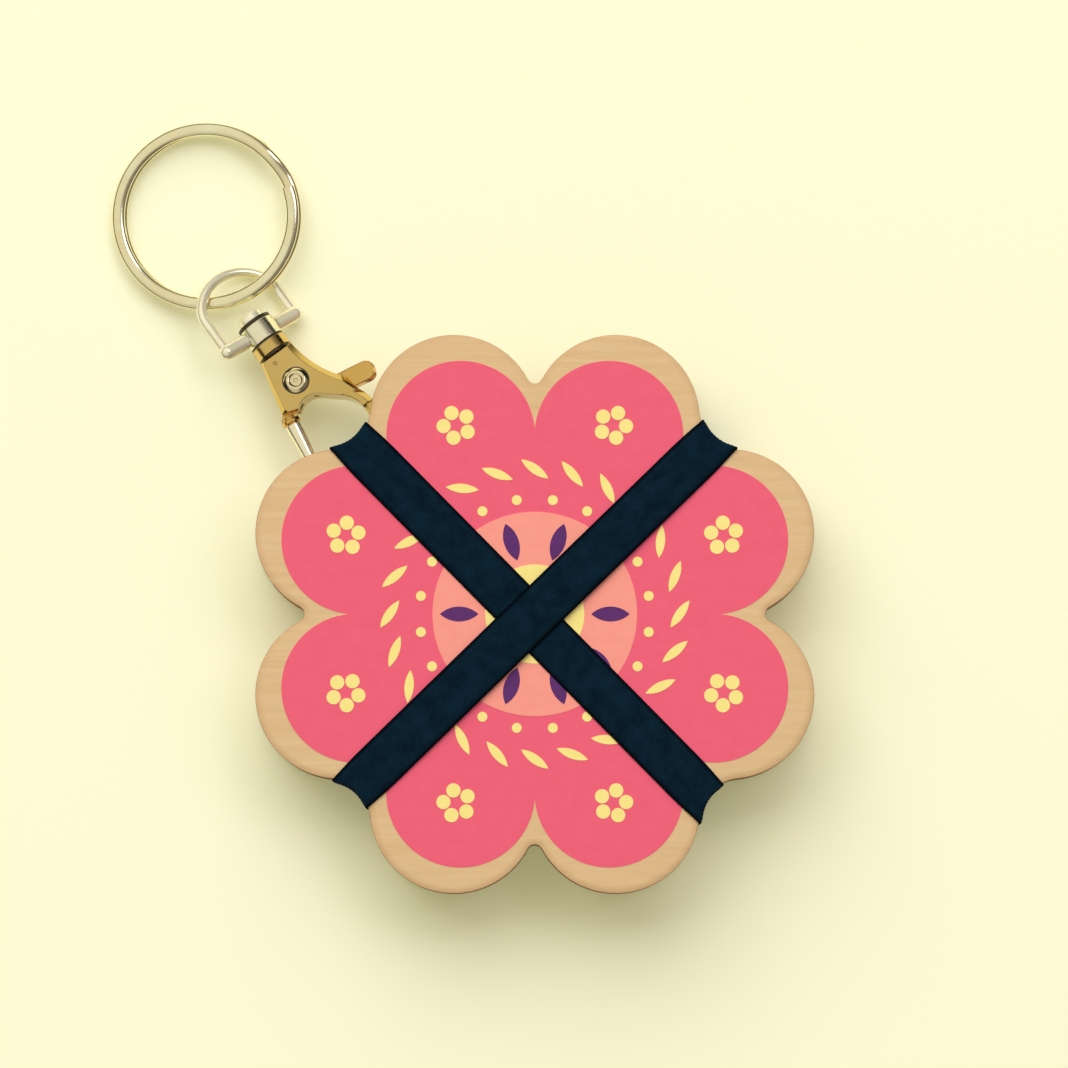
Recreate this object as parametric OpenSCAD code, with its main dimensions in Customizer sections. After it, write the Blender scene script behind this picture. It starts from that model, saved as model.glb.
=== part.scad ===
// Pocket flower press: two flower-shaped plywood boards, a stack of corrugated cards and
// blotters between them, two crossed elastic straps, and a trigger clasp with a swivelling
// D-loop and a split key ring hooked on one strap.
// Millimetres. The origin is under the crossing of the straps, on the surface the press
// lies on, with +Z up through the boards and +Y towards the top of the flower.

/* [Boards] */
// Radius of each petal's round end
petal_r = 13.5; // [12:0.1:15]
// How far each petal's round end reaches past the line between it and the next
petal_overlap = 0.43; // [0.3:0.01:0.6]
// Radius of the four wide valleys that the straps lie in
valley_r = 7; // [6.5:0.1:7.5]
// Radius of the four narrow notches between the valleys
notch_r = 1.3; // [0.8:0.1:2]
// Thickness of each plywood board
board_t = 3; // [2:0.1:4]

/* [Sheets] */
// How far the round cards and blotters stay inside the wide valleys
sheet_inset = 6.5; // [5.5:0.5:12]
// Thickness of one corrugated card
card_t = 1.6; // [1.2:0.1:2]
// Thickness of one blotter
blotter_t = 0.5; // [0.3:0.05:0.7]

/* [Straps] */
// Width of the elastic
strap_w = 7.8; // [6:0.1:8]
// Thickness of the elastic
strap_t = 0.6; // [0.45:0.05:0.9]
// How far the inner strap lies to one side of the centre
inner_shift = 1.2; // [0:0.05:1.4]
// Turn of the inner strap away from the diagonal, degrees
inner_turn = -0.4; // [-1:0.1:1]
// Turn of the outer strap away from the diagonal, degrees
outer_turn = -0.8; // [-1:0.1:1]
// How far the sewn lap under the press stays inside the wide valley
lap_inset = 8.5; // [6:0.5:14]
// Length of the sewn lap
lap_len = 12; // [8:0.5:14]

/* [Print] */
// Thickness of one layer of ink
ink_t = 0.05; // [0.04:0.01:0.08]
// How much smaller the coloured field's petals are than the board's, in radius
field_narrowing = 1.5; // [1.3:0.1:2]
// Bare wood left outside the coloured field at a petal's end
print_margin = 4.4; // [4:0.1:5]
// Radius of the disc at the centre
print_disc_r = 16.5; // [15.5:0.5:17]

/* [Clasp] */
// Thickness of the cast body at the rivet
clasp_t = 4.6; // [4.2:0.1:5]
// Thickness of the hook
hook_t = 3.2; // [2.8:0.1:3.6]
// Radius of the hook's inside
hook_in_r = 5.8; // [5.6:0.1:6]
// Width of the hook seen from above
hook_w = 1.9; // [1.6:0.1:2.1]
// Thickness of the lever
lever_t = 1.5; // [1.2:0.1:1.7]
// Radius of the rivet's shank
rivet_r = 1; // [0.8:0.05:1.1]
// Radius of the rivet's heads
rivet_head_r = 2.05; // [1.8:0.05:2.3]
// How far the lever turns to open the gate, degrees
gate_open = 7; // [4:0.5:7]
// Tilt of the clasp, down towards the key ring, degrees
clasp_tilt = 10; // [8:0.5:11]

/* [Loop and ring] */
// Half the width of the D-loop, to the middle of its wire
loop_half = 7; // [6.6:0.1:7.4]
// Radius of the D-loop's wire
loop_wire_r = 0.9; // [0.8:0.05:1]
// Roll of the D-loop on its swivel, degrees
loop_roll = -26; // [-30:1:-24]
// Outer radius of the split ring
ring_out_r = 15.3; // [15:0.1:15.6]
// Width of the ring's flat wire, seen from above
ring_wire_w = 2.25; // [2:0.05:2.4]
// Height of one turn of the ring's wire
ring_wire_t = 1.2; // [1:0.05:1.3]

/* [Hidden] */
$fn = 64;
// Overrun of every cut
over = 1;

// Heights of the stack, from the surface up
board_z = 2 * strap_t;
stack_z = board_z + board_t;
lid_z = stack_z + 4 * card_t + 6 * blotter_t;
print_z = lid_z + board_t;
strap_z = print_z + 3 * ink_t;

// Flower outline: petals every 45 degrees, first one half a step round from +X
petal_count = 8;
petal_step = 360 / petal_count;
half_step = petal_step / 2;
petal_orbit = (petal_r - petal_overlap) / sin(half_step);
petal_reach = petal_orbit * cos(half_step);
petal_side = petal_orbit * sin(half_step);
function fillet_orbit(r) = petal_reach + sqrt(pow(petal_r + r, 2) - pow(petal_side, 2));
valley_orbit = fillet_orbit(valley_r);
notch_orbit = fillet_orbit(notch_r);
function polar(r, a) = [r * cos(a), r * sin(a)];

// The straps run down the boards' edges a hair's breadth outside them
edge_gap = 0.08;
valley_bottom = valley_orbit - valley_r;
sheet_r = valley_bottom - sheet_inset;
fold_flat = 1.5;
bump_margin = 0.2;
inner_lane = [135, inner_turn, inner_shift];
outer_lane = [45, outer_turn, 0];

// Clasp: places in its own frame, with x from the swivel to the hook, y to the right and
// z up, and the rivet at the centre
hook_past = 3.136;
hook_aside = 1.538;
clasp_heading = -53.9;
neck_x = -5.85;
neck_half = 3;
bevel = 0.9;
flank_t = 3;
left_end = [3.2, -5.1];
left_mouth = [3.5, -3.9];
right_end = [8, 7.8];
waist_r = 18;
waist_heading = 93.5;
waist_c = [neck_x, neck_half] + polar(waist_r, waist_heading);
arm_end_angle = 96;
crotch = [6.2, -0.2];
crotch_r = 3;
hook_c = [10.6, 0.6];
hook_out_r = hook_in_r + hook_w;
hook_at = polar(valley_bottom + hook_past, inner_lane[0])
    + polar(hook_aside, inner_lane[0] + 90);
rivet_at = hook_at - polar(hook_c[0] * cos(clasp_tilt), clasp_heading)
    - polar(hook_c[1], clasp_heading + 90);
hook_root_angle = 135;
hook_tip_angle = -76;
hook_chamfer = 0.55;
arm_chamfer = 0.15;
arm_weld = 1;
tip_side = -3.4;
tip_start_x = 8.5;
gate_end_r = 14.3;
gate_end_gap = 0.15;

// Lever: hub, gate bar and thumb tab
hub_r = 2.6;
gate_base = [4, -4.4];
gate_heading = -8.8;
gate_bar_w = 2.2;
gate_root_r = 1.45;
gate_tip_r = 0.85;
gate_neck_r = 1.1;
gate_collar_r = 1.6;
gate_inset = 0.15;
gate_bands = [0.4, 1, 1.3];
gate_rod_len = 11;
tab_w = 3.2;
tab_from = [4.35, 5.65];
tab_heading = 79.6;
tab_len = 6.1;
tab_pad_start = 2.1;
tab_pad_t = 2.3;
tab_pad_inset = 0.2;
lever_gap = 0.1;
slot_gap = 0.15;
pin_gap = 0.05;

// Torsion spring round the rivet, in a pocket of the lever's hub
spring_wire_r = 0.14;
spring_turns = 2.25;
spring_play = 0.45;
coil_gap = 0.04;
spring_mean_r = rivet_r + spring_play;
spring_pitch = 2 * spring_wire_r + coil_gap;
spring_leg = 0.7;
pocket_gap = 0.2;
pocket_r = spring_mean_r + spring_wire_r + pocket_gap;
pocket_floor = 0.5;
spring_tail = sqrt(pow(hub_r + slot_gap, 2) - pow(spring_mean_r + spring_wire_r, 2)) - lever_gap;
spring_sides = 6;
spring_steps = 16;

// Swivel post, from its head inside the loop to its spigot in the body
post_r = 1.2;
post_head_r = 2.3;
post_head_x = [-14, -12.4];
post_flange_r = 3.1;
post_flange_x = [-8.1, -6.2];
post_neck_r = 2.3;
spigot_len = 2.4;
spigot_gap = 0.02;
head_round = 0.6;

// D-loop, with the clasp's frame turned about x by its roll
loop_hub_r = 3.1;
loop_hub_x = [-12.25, -8.5];
loop_bar_x = -10.3;
loop_bar_r = 1.3;
loop_leg_x = -16.2;
loop_apex_x = -21.8;
loop_corner_r = 4.2;
loop_rise = loop_leg_x - loop_apex_x;
loop_inset = loop_half - loop_corner_r;
loop_top_r = (pow(loop_rise, 2) + pow(loop_inset, 2) - pow(loop_corner_r, 2))
    / (2 * (loop_rise - loop_corner_r));
loop_top_x = loop_apex_x + loop_top_r;
loop_top_angle = atan2(loop_inset, loop_top_x - loop_leg_x);

// The loop's lowest point and the ring's far side rest on the surface
floor_gap = 0.04;
loop_fall = sin(-loop_roll) * cos(clasp_tilt);
loop_dip = -loop_leg_x * sin(clasp_tilt) + loop_inset * loop_fall
    + loop_corner_r * norm([sin(clasp_tilt), loop_fall]);
rivet_z = loop_dip + loop_wire_r + floor_gap;

// Split ring: two turns of flat wire, joined by a short step from one to the other, hung
// in the D-loop with its far side on the surface
ring_hang_from_rivet = [-8.25, 15.85];
ring_hang = rivet_at + ring_hang_from_rivet;
ring_heading = 120.8;
ring_rise = 2.13;
ring_lift = asin(ring_rise / (2 * ring_out_r));
ring_roll = 3;
ring_in_r = ring_out_r - ring_wire_w;
ring_centre = ring_hang + polar(ring_in_r, ring_heading);
ring_gap = 0.06;
ring_top = ring_wire_t + ring_gap / 2;
ring_chamfer = 0.4;
ring_step_at = 88;
ring_step_half = 13;
ring_end_gap = 1.5;
ring_weld = 1;
ring_flat = cos(ring_lift) * cos(ring_roll);
ring_z = floor_gap + ring_out_r * sqrt(1 - pow(ring_flat, 2)) + ring_top * ring_flat;

wood = "burlywood";
elastic = "midnightblue";
gold = "goldenrod";
pale_gold = "palegoldenrod";

// Boards

module flower(grow = 0) {
    difference() {
        union() {
            for (k = [0 : petal_count - 1])
                translate(polar(petal_orbit, half_step + k * petal_step)) circle(petal_r + grow);
            polygon([for (k = [0 : petal_count - 1]) each [
                polar(k % 2 == 0 ? notch_orbit : valley_orbit, k * petal_step),
                polar(petal_orbit, half_step + k * petal_step)]]);
        }
        for (k = [0 : petal_count - 1])
            translate(polar(k % 2 == 0 ? notch_orbit : valley_orbit, k * petal_step))
                circle((k % 2 == 0 ? notch_r : valley_r) - grow);
    }
}

module board(z) {
    color(wood) translate([0, 0, z]) linear_extrude(board_t) flower();
}

module bottom_board() { board(board_z); }

module top_board() { board(lid_z); }

// Print on the top board: a plain field and disc, a ring of leaves round the centre, and on
// the field a ring of dots, a garland of slanting leaves and a small blossom on each petal

field_petal_r = petal_r - field_narrowing;
field_orbit = petal_orbit + petal_r - print_margin - field_petal_r;
field_core_inset = 3;
field_core_r = field_orbit - field_core_inset;
centre_r = 8;
leaf_count = 10;
leaf_orbit = 12.2;
leaf_arc_r = 4.6;
leaf_half_w = 1.2;
dot_count = 20;
dot_gap = 2.1;
dot_orbit = print_disc_r + dot_gap;
dot_r = 0.8;
garland_count = 24;
garland_gap = 6.9;
garland_orbit = print_disc_r + garland_gap;
garland_slant = 55;
garland_arc_r = 5.2;
garland_half_w = 0.75;
blossom_shift = 1.75;
blossom_orbit = field_orbit + blossom_shift;
blossom_petals = 5;
blossom_ring_r = 2.1;
blossom_petal_r = 1.15;

module ink(layer) {
    translate([0, 0, print_z + layer * ink_t]) linear_extrude(ink_t) children();
}

module print_field() {
    color("palevioletred") ink(0) {
        circle(field_core_r);
        for (k = [0 : petal_count - 1])
            translate(polar(field_orbit, half_step + k * petal_step)) circle(field_petal_r);
    }
}

module print_disc() { color("lightsalmon") ink(1) circle(print_disc_r); }

// A leaf between two equal arcs, along x
module leaf(arc_r, half_w) {
    intersection() {
        translate([0, arc_r - half_w]) circle(arc_r);
        translate([0, half_w - arc_r]) circle(arc_r);
    }
}

module print_leaves() {
    color("indigo") ink(2) for (k = [0 : leaf_count - 1])
        rotate(k * 360 / leaf_count) translate([leaf_orbit, 0]) leaf(leaf_arc_r, leaf_half_w);
}

module blossom() {
    for (k = [0 : blossom_petals - 1])
        translate(polar(blossom_ring_r, k * 360 / blossom_petals)) circle(blossom_petal_r);
}

module print_blossoms() {
    color("khaki") {
        ink(2) circle(centre_r);
        ink(1) {
            for (k = [0 : dot_count - 1])
                translate(polar(dot_orbit, (k + 1 / 2) * 360 / dot_count)) circle(dot_r);
            for (k = [0 : garland_count - 1])
                rotate(k * 360 / garland_count) translate([garland_orbit, 0])
                    rotate(garland_slant) leaf(garland_arc_r, garland_half_w);
            for (k = [0 : petal_count - 1])
                rotate(half_step + k * petal_step) translate([blossom_orbit, 0]) blossom();
        }
    }
}

// Cards and blotters: card, blotter, then three times blotter, card, blotter, card at the top

module sheet(z, t) { translate([0, 0, z]) cylinder(r = sheet_r, h = t, $fn = 128); }

function card_z(n) = stack_z + (n - 1) * (card_t + 2 * blotter_t);
function blotter_z(n) = card_z(floor(n / 2) + 1) + (n % 2 == 1 ? card_t : -blotter_t);

module card(n) { color("peru") sheet(card_z(n), card_t); }

module blotter(n) { color("ivory") sheet(blotter_z(n), blotter_t); }

// Straps: each lane is its diagonal, its turn away from it and its shift to one side, and
// has x along the strap and y across it

module in_lane(lane) { rotate(lane[0] + lane[1]) translate([0, lane[2], 0]) children(); }

module strap_lane(lane) {
    in_lane(lane) translate([-valley_orbit, -strap_w / 2, -over])
        cube([2 * valley_orbit, strap_w, strap_z + strap_t + 2 * over]);
}

// A side run hugs the boards' edges: the valley and the petals' flanks beside it
module side_run(lane, valley) {
    color(elastic) intersection() {
        strap_lane(lane);
        rotate(valley) translate([valley_bottom - edge_gap, -petal_r, board_z])
            cube([petal_r, 2 * petal_r, strap_z - board_z]);
        translate([0, 0, board_z]) linear_extrude(strap_z - board_z) difference() {
            flower(edge_gap + strap_t);
            flower(edge_gap);
        }
    }
}

// A flat run along a profile of [x, z] points, out over the boards' edges
module strap_run(lane, profile) {
    intersection() {
        strap_lane(lane);
        in_lane(lane) translate([0, strap_w / 2 + over, 0]) rotate([90, 0, 0])
            linear_extrude(strap_w + 2 * over) polygon(profile);
        translate([0, 0, -over]) linear_extrude(strap_z + strap_t + 3 * over)
            flower(edge_gap + strap_t);
    }
}

run_end = valley_orbit;
ramp_end = valley_bottom - fold_flat;
bump_near = strap_w / 2 + bump_margin - inner_shift;
bump_far = strap_w / 2 + bump_margin + inner_shift;
lap_end = valley_bottom - lap_inset;
lap_start = lap_end - lap_len;

function ramps(low, high) = [[-run_end, low], [-ramp_end, low], [-bump_far, high],
    [bump_near, high], [ramp_end, low], [run_end, low]];
function raised(points, h) = [for (p = points) [p[0], p[1] + h]];
function reversed(points) = [for (k = [len(points) - 1 : -1 : 0]) points[k]];
function ribbon(points) = concat(points, reversed(raised(points, strap_t)));

module inner_strap_top() {
    color(elastic)
        strap_run(inner_lane, ribbon([[-run_end, strap_z], [run_end, strap_z]]));
}

// Under the press each strap's ends are sewn in a lap
module inner_strap_base() {
    color(elastic) strap_run(inner_lane, [[-run_end, board_z],
        [-run_end, strap_t], [-lap_end, strap_t], [-lap_end, 0], [-lap_start, 0],
        [-lap_start, strap_t], [run_end, strap_t], [run_end, board_z]]);
}

module inner_strap_clasp_side() { side_run(inner_lane, inner_lane[0]); }

module inner_strap_far_side() { side_run(inner_lane, inner_lane[0] + 180); }

module outer_strap_top() {
    color(elastic) strap_run(outer_lane, ribbon(ramps(strap_z, strap_z + strap_t)));
}

// The outer strap runs level under the inner one, from the crossing to its lap
module outer_strap_base() {
    color(elastic) strap_run(outer_lane, [[-run_end, board_z],
        [-run_end, strap_t], [-lap_end, strap_t], [-lap_end, 0], [bump_near, 0],
        [ramp_end, strap_t], [run_end, strap_t], [run_end, board_z], [ramp_end, board_z],
        [bump_near, strap_t], [-lap_start, strap_t], [-lap_start, board_z]]);
}

module outer_strap_upper_side() { side_run(outer_lane, outer_lane[0]); }

module outer_strap_lower_side() { side_run(outer_lane, outer_lane[0] + 180); }

// Clasp

module in_clasp() {
    translate([each rivet_at, rivet_z]) rotate([0, 0, clasp_heading])
        rotate([0, -clasp_tilt, 0]) children();
}

module level_plate(t) { translate([0, 0, -t / 2]) linear_extrude(t) children(); }

module level_pin(r, h) { translate([0, 0, -h / 2]) cylinder(r = r, h = h); }

// Bevelled shank: a full-thickness face inside a thinner flank
module shank() {
    hull() {
        level_plate(clasp_t) polygon([[neck_x + bevel / 3, -neck_half + bevel / 2],
            [left_end[0] - bevel / 3, left_end[1] + bevel],
            left_mouth,
            [right_end[0] - bevel, right_end[1] - bevel],
            [neck_x + bevel / 3, neck_half - bevel / 2]]);
        level_plate(flank_t) polygon([[neck_x, -neck_half], left_end, right_end,
            [neck_x, neck_half]]);
    }
}

// Cutter for the waist beside the neck, with the same bevel as the shank
module waist() {
    translate(waist_c) rotate_extrude($fn = 180) polygon([[0, -clasp_t], [waist_r + bevel, -clasp_t],
        [waist_r + bevel, -clasp_t / 2], [waist_r, -flank_t / 2], [waist_r, flank_t / 2],
        [waist_r + bevel, clasp_t / 2], [waist_r + bevel, clasp_t], [0, clasp_t]]);
}

// Opening inside the hook: a small arc in the crotch and a large one in the hook, joined
// by their common tangents
module hook_opening() {
    d = hook_c - crotch;
    spread = acos((hook_in_r - crotch_r) / norm(d));
    heading = atan2(d[1], d[0]);
    translate(crotch) circle(crotch_r);
    translate(hook_c) circle(hook_in_r);
    polygon([crotch + polar(crotch_r, heading + 180 - spread),
        hook_c + polar(hook_in_r, heading + 180 - spread),
        hook_c + polar(hook_in_r, heading - 180 + spread),
        crotch + polar(crotch_r, heading - 180 + spread)]);
}

module hook_section(t, inner, outer) {
    h = t / 2;
    polygon([[hook_in_r, inner - h], [hook_in_r + inner, -h], [hook_out_r - outer, -h],
        [hook_out_r, outer - h], [hook_out_r, h - outer], [hook_out_r - outer, h],
        [hook_in_r + inner, h], [hook_in_r, h - inner]]);
}

// The hook leaves the shank at the shank's own thickness and thins out past its top
module hook() {
    translate(hook_c) {
        rotate(arm_end_angle) rotate_extrude(angle = hook_root_angle - arm_end_angle)
            hook_section(clasp_t, arm_chamfer, bevel);
        rotate(hook_tip_angle) rotate_extrude(angle = arm_end_angle + arm_weld - hook_tip_angle)
            hook_section(hook_t, hook_chamfer, hook_chamfer);
    }
}

module clasp_body() {
    color(gold) in_clasp() difference() {
        union() {
            difference() {
                shank();
                level_plate(clasp_t + 2 * over) hook_opening();
                waist();
            }
            hook();
        }
        level_plate(lever_t + 2 * lever_gap) for (a = [0, gate_open / 2, gate_open])
            rotate(a) lever_outline(slot_gap);
        level_pin(rivet_r, clasp_t + 2 * over);
        intersection() {
            level_pin(gate_end_r + gate_end_gap, hook_t + 2 * over);
            translate([tip_start_x, tip_side - hook_out_r, -hook_t])
                cube([hook_out_r, hook_out_r, 2 * hook_t]);
        }
        rotate([0, 90, 0]) translate([0, 0, neck_x - over])
            cylinder(r = post_r + spigot_gap, h = over + spigot_len + spigot_gap);
    }
}

// Rivet with rolled heads and a dimple in each
module clasp_rivet() {
    head_t = clasp_t / 2 + rivet_head_r / 4;
    dimple_r = rivet_head_r * 2 / 5;
    color(gold) in_clasp() difference() {
        union() {
            level_pin(rivet_r, clasp_t);
            for (s = [0, 1]) mirror([0, 0, s]) rotate_extrude()
                polygon([[0, clasp_t / 2], [rivet_head_r, clasp_t / 2],
                    [rivet_head_r, (clasp_t + head_t) / 3],
                    [rivet_head_r - head_round / 2, head_t], [0, head_t]]);
        }
        for (s = [-1, 1]) translate([0, 0, s * (head_t + dimple_r / 3)]) sphere(r = dimple_r);
    }
}

// Lever: its outline in the slot, from the hub to the gate and to the thumb tab
module lever_outline(grow) {
    circle(hub_r + grow);
    rotate(atan2(gate_base[1], gate_base[0])) translate([0, -gate_bar_w / 2 - grow])
        square([norm(gate_base) + gate_neck_r, gate_bar_w + 2 * grow]);
    across = polar(tab_w / 2 + grow, tab_heading + 90);
    ahead = polar(tab_len - tab_w / 2, tab_heading);
    translate(tab_from + ahead) circle(tab_w / 2 + grow);
    polygon([[-hub_r / 5 - grow, hub_r], tab_from + across, tab_from + across + ahead,
        tab_from - across + ahead, tab_from - across, [hub_r - hub_r / 8 + grow, -hub_r / 4]]);
}

module gate_rod() {
    translate(gate_base) rotate(gate_heading) rotate([0, 90, 0]) rotate_extrude()
        polygon([[0, -gate_inset], [gate_neck_r, -gate_inset], [gate_neck_r, gate_bands[0]],
            [gate_collar_r, gate_bands[0]], [gate_collar_r, gate_bands[1]],
            [gate_neck_r, gate_bands[1]], [gate_neck_r, gate_bands[2]],
            [gate_root_r, gate_bands[2]], [gate_tip_r, gate_rod_len], [0, gate_rod_len]]);
}

module gate_lever() {
    color(gold) in_clasp() difference() {
        union() {
            level_plate(lever_t) lever_outline(0);
            intersection() {
                gate_rod();
                level_pin(gate_end_r, clasp_t);
            }
            level_plate(tab_pad_t) translate(tab_from) rotate(tab_heading) {
                translate([tab_pad_start, tab_pad_inset - tab_w / 2])
                    square([tab_len - tab_w / 2 - tab_pad_start, tab_w - 2 * tab_pad_inset]);
                translate([tab_len - tab_w / 2, 0]) circle(tab_w / 2 - tab_pad_inset);
            }
        }
        level_pin(rivet_r + pin_gap, clasp_t);
        translate([0, 0, pocket_floor - lever_t / 2]) {
            cylinder(r = pocket_r, h = lever_t);
            rotate(180) translate([0, -pocket_r]) cube([hub_r + over, pocket_r, lever_t]);
        }
    }
}

// Torsion spring: one helix with a straight leg at each end, swept as a tube
function spring_angle(k) = k * 360 / spring_steps;
spring_rings = spring_turns * spring_steps;
spring_path = concat(
    [[spring_mean_r, -spring_leg, 0]],
    [for (k = [0 : spring_rings]) [spring_mean_r * cos(spring_angle(k)),
        spring_mean_r * sin(spring_angle(k)), spring_pitch * k / spring_steps]],
    [[-spring_tail, spring_mean_r, spring_pitch * spring_turns]]);

module tube(path, r, sides) {
    n = len(path);
    along = [for (k = [0 : n - 1]) path[min(k + 1, n - 1)] - path[max(k - 1, 0)]];
    side = [for (d = along) let (s = cross(d, [0, 0, 1])) s / norm(s)];
    lift = [for (k = [0 : n - 1]) let (s = cross(side[k], along[k])) s / norm(s)];
    polyhedron(
        [for (k = [0 : n - 1], j = [0 : sides - 1])
            path[k] + r * (cos(j * 360 / sides) * side[k] + sin(j * 360 / sides) * lift[k])],
        concat([[for (j = [sides - 1 : -1 : 0]) j]],
            [for (k = [0 : n - 2], j = [0 : sides - 1]) let (a = k * sides + j,
                b = k * sides + (j + 1) % sides) each [[a, b, b + sides], [a, b + sides, a + sides]]],
            [[for (j = [0 : sides - 1]) (n - 1) * sides + j]]));
}

module gate_spring() {
    color("silver") in_clasp()
        translate([0, 0, pocket_floor - lever_t / 2 + spring_wire_r + lever_gap / 2])
            tube(spring_path, spring_wire_r, spring_sides);
}

module along_x() { rotate([0, 90, 0]) rotate_extrude() children(); }

module swivel_post() {
    h = post_head_x;
    f = post_flange_x;
    color(gold) in_clasp() along_x()
        polygon([[0, h[0]], [post_head_r - head_round, h[0]], [post_head_r, h[0] + head_round],
            [post_head_r, h[1]], [post_r, h[1]], [post_r, f[0]], [post_flange_r, f[0]],
            [post_flange_r, f[1]], [post_neck_r, f[1]], [post_neck_r, neck_x],
            [post_r, neck_x], [post_r, neck_x + spigot_len], [0, neck_x + spigot_len]]);
}

module loop_arc(c, r, from, sweep) {
    translate(c) rotate(from) rotate_extrude(angle = sweep) translate([r, 0]) circle(loop_wire_r);
}

module loop_wire() {
    for (s = [0, 1]) mirror([0, s, 0]) {
        translate([loop_leg_x, loop_half, 0]) rotate([0, 90, 0])
            cylinder(r = loop_wire_r, h = loop_bar_x - loop_leg_x);
        loop_arc([loop_leg_x, loop_inset], loop_corner_r, 90, 90 - loop_top_angle);
        loop_arc([loop_top_x, 0], loop_top_r, 180 - loop_top_angle, loop_top_angle);
    }
}

module loop_base() {
    translate([loop_bar_x, 0, 0]) {
        rotate([90, 0, 0]) level_pin(loop_bar_r, 2 * loop_half);
        for (s = [-1, 1]) translate([0, s * loop_half, 0]) sphere(r = loop_bar_r);
    }
    along_x() polygon([[0, loop_hub_x[0]], [loop_hub_r - head_round, loop_hub_x[0]],
        [loop_hub_r, loop_hub_x[0] + head_round], [loop_hub_r, loop_hub_x[1]],
        [0, loop_hub_x[1]]]);
}

module d_loop() {
    color(pale_gold) in_clasp() rotate([loop_roll, 0, 0]) difference() {
        union() {
            loop_wire();
            loop_base();
        }
        rotate([0, 90, 0]) translate([0, 0, loop_hub_x[0] - over])
            cylinder(r = post_r + pin_gap, h = loop_hub_x[1] - loop_hub_x[0] + 2 * over);
    }
}

// Split ring

module ring_turn(from, sweep, up) {
    c = ring_chamfer;
    rotate(from) rotate_extrude(angle = sweep) translate([0, up ? ring_gap / 2 : -ring_top])
        polygon([[ring_in_r + c, 0], [ring_out_r - c, 0], [ring_out_r, c],
            [ring_out_r, ring_wire_t - c], [ring_out_r - c, ring_wire_t],
            [ring_in_r + c, ring_wire_t], [ring_in_r, ring_wire_t - c], [ring_in_r, c]]);
}

// The step: a slanted strip of the same wire, cut to its stretch of the ring
module ring_step() {
    rise = ring_in_r * sin(ring_step_half);
    reach = ring_out_r;
    intersection() {
        rotate(-ring_step_half - ring_weld)
            rotate_extrude(angle = 2 * (ring_step_half + ring_weld))
            translate([ring_in_r, -ring_top]) square([ring_wire_w, 2 * ring_top]);
        rotate([90, 0, 90]) linear_extrude(ring_out_r)
            polygon([[-reach, -ring_top], [-rise, -ring_top], [rise, ring_gap / 2],
                [reach, ring_gap / 2], [reach, ring_top], [rise, ring_top],
                [-rise, -ring_gap / 2], [-reach, -ring_gap / 2]]);
    }
}

module split_ring() {
    sweep = 360 - 2 * ring_step_half - ring_end_gap;
    color(pale_gold) translate([each ring_centre, ring_z]) rotate([0, 0, clasp_heading])
        rotate([ring_roll, 0, 0]) rotate([0, -ring_lift, 0]) rotate(ring_step_at) {
            ring_step();
            ring_turn(ring_step_half + ring_end_gap, sweep, false);
            ring_turn(ring_step_half, sweep, true);
        }
}

bottom_board();
top_board();
print_field();
print_disc();
print_leaves();
print_blossoms();
card(1);  // card_1
card(2);  // card_2
card(3);  // card_3
card(4);  // card_4
blotter(1);  // blotter_1
blotter(2);  // blotter_2
blotter(3);  // blotter_3
blotter(4);  // blotter_4
blotter(5);  // blotter_5
blotter(6);  // blotter_6
inner_strap_top();
inner_strap_base();
inner_strap_clasp_side();
inner_strap_far_side();
outer_strap_top();
outer_strap_base();
outer_strap_upper_side();
outer_strap_lower_side();
clasp_body();
clasp_rivet();
gate_lever();
gate_spring();
swivel_post();
d_loop();
split_ring();
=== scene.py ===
# %% [markdown]
# # A pocket flower press, dressed for its portrait
# The press comes from CAD as plain solids: boards, sheets, straps and a trigger clasp. This
# lesson gives those that are right real finishes, and makes anew what CAD can't show well:
# woven elastic, fluted card, laser-cut plywood and fine wire. The first cell loads the CAD
# model as a fixed frame, which nothing here moves.

# %% Load the CAD frame
import cmath
import math
import bmesh
import bpy
import numpy as np
from mathutils import Matrix, Vector


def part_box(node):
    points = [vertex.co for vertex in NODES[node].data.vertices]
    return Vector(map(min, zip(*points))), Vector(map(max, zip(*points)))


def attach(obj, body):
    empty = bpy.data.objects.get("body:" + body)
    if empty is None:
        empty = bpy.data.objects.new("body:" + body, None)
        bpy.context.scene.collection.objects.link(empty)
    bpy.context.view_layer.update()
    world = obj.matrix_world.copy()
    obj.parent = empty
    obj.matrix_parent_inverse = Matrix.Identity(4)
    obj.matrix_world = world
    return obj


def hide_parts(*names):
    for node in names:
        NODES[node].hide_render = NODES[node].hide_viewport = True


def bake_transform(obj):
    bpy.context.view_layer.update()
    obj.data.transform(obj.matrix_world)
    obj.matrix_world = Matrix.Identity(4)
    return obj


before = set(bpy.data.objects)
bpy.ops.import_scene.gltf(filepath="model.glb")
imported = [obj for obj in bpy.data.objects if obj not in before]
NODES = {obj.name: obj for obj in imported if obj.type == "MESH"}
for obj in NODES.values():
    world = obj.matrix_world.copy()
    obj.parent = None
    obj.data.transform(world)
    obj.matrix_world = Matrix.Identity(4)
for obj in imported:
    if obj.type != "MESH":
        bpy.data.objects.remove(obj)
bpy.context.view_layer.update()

MM = 0.001

# %% [markdown]
# ## Sizes
# Every size is in millimetres and becomes metres only where a mesh is made. They repeat the
# CAD model's own values, so that each new piece lies where its solid is. The heights of the
# boards and cards are read from the CAD boxes instead.

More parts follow.
